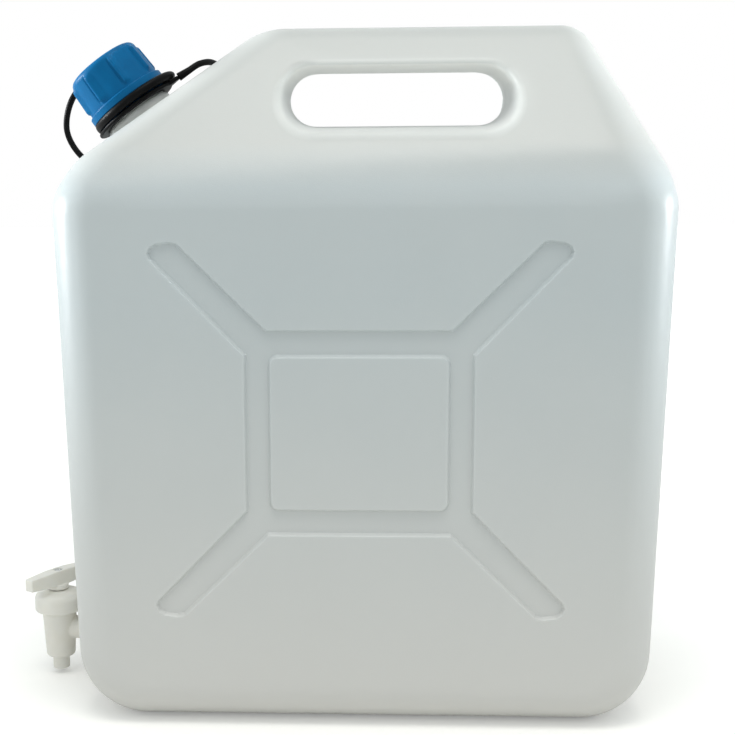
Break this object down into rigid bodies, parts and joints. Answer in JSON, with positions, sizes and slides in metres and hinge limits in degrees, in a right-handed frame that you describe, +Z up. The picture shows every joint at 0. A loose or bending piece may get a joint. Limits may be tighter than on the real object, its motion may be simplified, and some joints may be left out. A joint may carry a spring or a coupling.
{
  "type": "water jerry can with drain tap",
  "caption": "Upright flat-sided plastic water can with a hand slot through its top, a tilted filler neck with a tethered screw cap, and a turning drain tap low on one side.",
  "frame": {"origin": "centre of the flat base, on the floor the can stands on", "axes": "+Z up; +X along the width, away from the tap and the filler; -Y is the front face seen in the picture"},
  "size_m": [0.4034, 0.172, 0.4195],
  "materials": {
    "can_plastic": "translucent natural polyethylene, satin",
    "cap_plastic": "moulded plastic, satin blue",
    "ring_rubber": "black soft plastic, satin",
    "tap_plastic": "white moulded plastic, satin",
    "seal_rubber": "black rubber, matt",
    "pale_seal": "pale soft sealing disc, matt",
    "screw_steel": "plain stainless steel"
  },
  "bodies": {
    "root": {"can_body": "can_plastic", "filler_neck": "can_plastic", "tap_boss": "can_plastic", "neck_ring": "ring_rubber", "tether_strap": "ring_rubber", "tap_body": "tap_plastic", "tap_gasket": "seal_rubber", "tap_bonnet": "tap_plastic"},
    "cap_carrier": {"cap_ring": "ring_rubber"},
    "cap": {"screw_cap": "cap_plastic", "cap_seal": "pale_seal"},
    "tap_valve": {"tap_plug": "tap_plastic", "plug_seal_upper": "seal_rubber", "plug_seal_lower": "seal_rubber", "tap_lever": "tap_plastic", "lever_screw": "screw_steel"}
  },
  "joints": [
    {"name": "cap_lift", "type": "slide", "parent": "root", "child": "cap_carrier", "axis": [-0.5948, 0, 0.8039], "range_m": [0, 0.012]},
    {"name": "cap_turn", "type": "hinge", "parent": "cap_carrier", "child": "cap", "pos_m": [-0.137, 0, 0.3646], "axis": [-0.5948, 0, 0.8039], "range_deg": [0, 720]},
    {"name": "tap_turn", "type": "hinge", "parent": "root", "child": "tap_valve", "pos_m": [-0.204, 0, 0.031], "axis": [0, 0, 1], "range_deg": [0, 90]}
  ],
  "couplings": [
    {"joint": "cap_lift", "follows": "cap_turn", "m_per_rad": 0.00095493}
  ]
}
